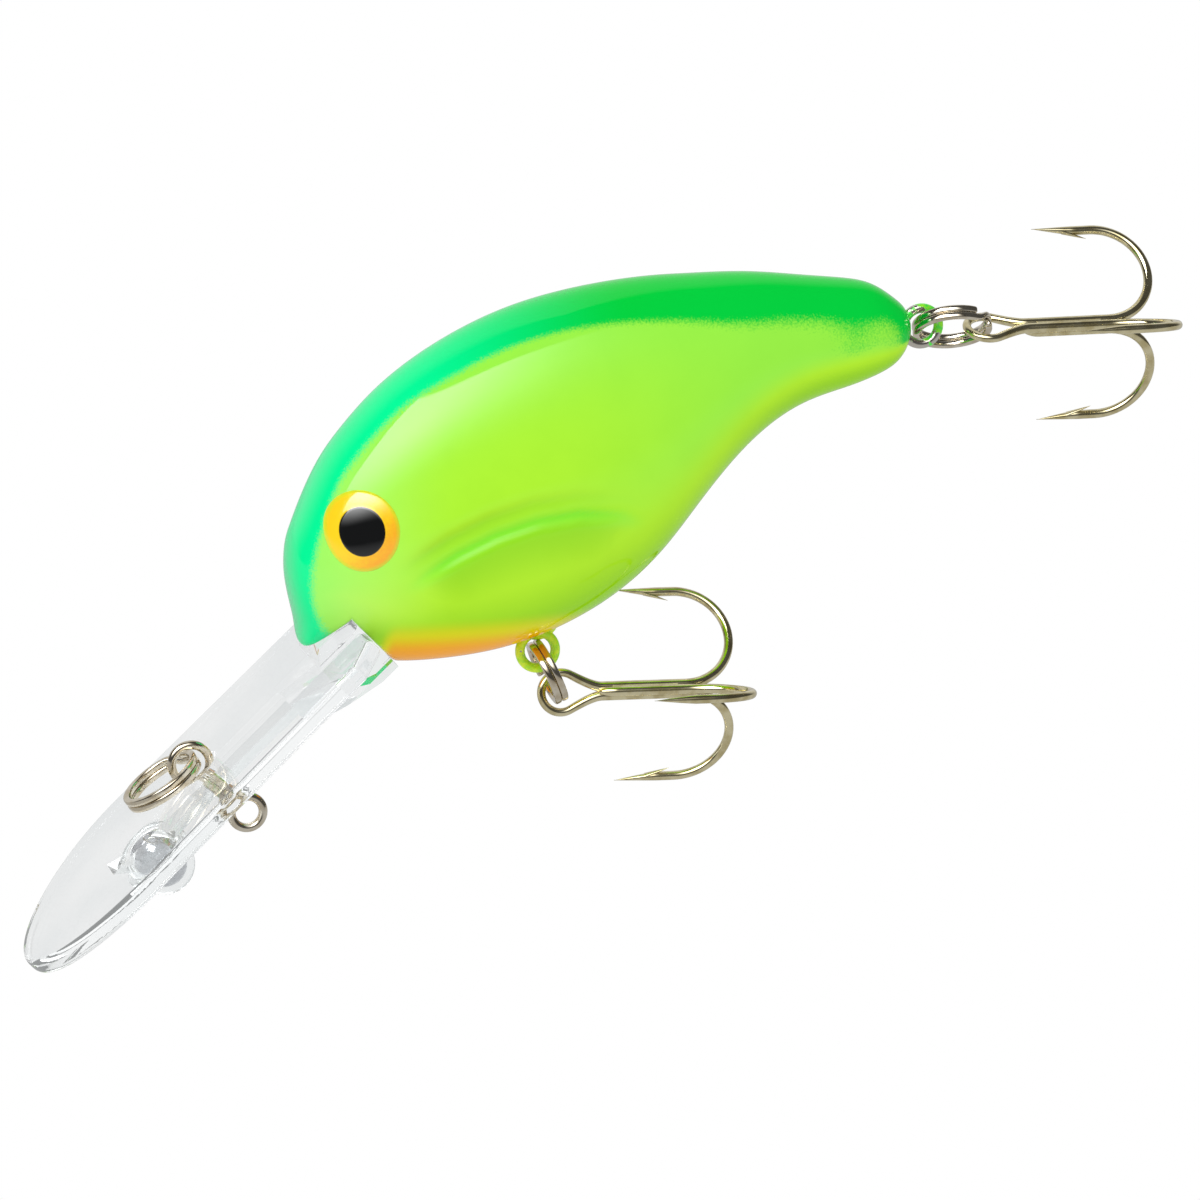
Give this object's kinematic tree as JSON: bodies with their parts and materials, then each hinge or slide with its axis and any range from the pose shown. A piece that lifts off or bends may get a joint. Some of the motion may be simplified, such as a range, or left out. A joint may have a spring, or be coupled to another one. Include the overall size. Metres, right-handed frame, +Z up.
{
  "type": "crankbait lure",
  "caption": "Deep-diving crankbait lure: humped hollow body, long clear diving bill with a weight ball, wire line tie and treble hooks on split rings.",
  "frame": {"origin": "centre of the line-tie split ring", "axes": "+X towards the tail and the tail hook, +Y to the fish's right side, +Z up as the lure runs, nose down"},
  "size_m": [0.1196, 0.0264, 0.0702],
  "materials": {
    "painted_body": "airbrushed fluorescent chartreuse, green back, orange throat, under clear gloss",
    "clear_bill": "polished clear polycarbonate",
    "bright_nickel": "bright nickel plate on spring wire",
    "hook_nickel": "nickel plate on hardened hook wire",
    "painted_wire": "body paint over stainless wire, worn to metal where the rings rub",
    "ground_steel": "ground bearing steel",
    "eye_enamel": "glossy yellow-orange iris with a black pupil"
  },
  "bodies": {
    "lure_body": {"left_body_shell": "painted_body", "right_body_shell": "painted_body", "diving_bill": "clear_bill", "weight_ball_cap": "clear_bill", "bill_weight_ball": "ground_steel", "line_tie_wire": "bright_nickel", "belly_hook_hanger": "painted_wire", "tail_hook_hanger": "painted_wire", "left_eye": "eye_enamel", "right_eye": "eye_enamel", "belly_ballast_slug": "ground_steel"},
    "line_tie_ring": {"line_tie_split_ring": "bright_nickel"},
    "belly_ring": {"belly_split_ring": "bright_nickel"},
    "tail_ring": {"tail_split_ring": "bright_nickel"},
    "belly_treble": {"belly_treble_double_hook": "hook_nickel", "belly_treble_single_hook": "hook_nickel", "belly_treble_braze": "hook_nickel"},
    "tail_treble": {"tail_treble_double_hook": "hook_nickel", "tail_treble_single_hook": "hook_nickel", "tail_treble_braze": "hook_nickel"},
    "rattle_1": {"rattle_ball_1": "ground_steel"},
    "rattle_2": {"rattle_ball_2": "ground_steel"},
    "rattle_3": {"rattle_ball_3": "ground_steel"}
  },
  "joints": [
    {"name": "line_tie_ring_swing", "type": "hinge", "parent": "lure_body", "child": "line_tie_ring", "pos_m": [0.00293, 0, 0.00162], "axis": [0, 1, 0], "range_deg": [0, 150]},
    {"name": "belly_ring_swing", "type": "hinge", "parent": "lure_body", "child": "belly_ring", "pos_m": [0.03899, 0, 0.01132], "axis": [0, 1, 0], "range_deg": [0, 60]},
    {"name": "belly_treble_swing", "type": "hinge", "parent": "belly_ring", "child": "belly_treble", "pos_m": [0.04142, 0, 0.00675], "axis": [0, 1, 0], "range_deg": [0, 80]},
    {"name": "tail_ring_swing", "type": "hinge", "parent": "lure_body", "child": "tail_ring", "pos_m": [0.0794, 0, 0.0431], "axis": [0, 1, 0], "range_deg": [-40, 25]},
    {"name": "tail_treble_swing", "type": "hinge", "parent": "tail_ring", "child": "tail_treble", "pos_m": [0.08643, 0, 0.04261], "axis": [0, 1, 0], "range_deg": [-35, 35]},
    {"name": "rattle_ball_1_roll", "type": "slide", "parent": "lure_body", "child": "rattle_1", "axis": [1, 0, 0], "range_m": [0, 0.00744]},
    {"name": "rattle_ball_2_roll", "type": "slide", "parent": "lure_body", "child": "rattle_2", "axis": [1, 0, 0], "range_m": [0, 0.00744]},
    {"name": "rattle_ball_3_roll", "type": "slide", "parent": "lure_body", "child": "rattle_3", "axis": [1, 0, 0], "range_m": [0, 0.00744]}
  ]
}
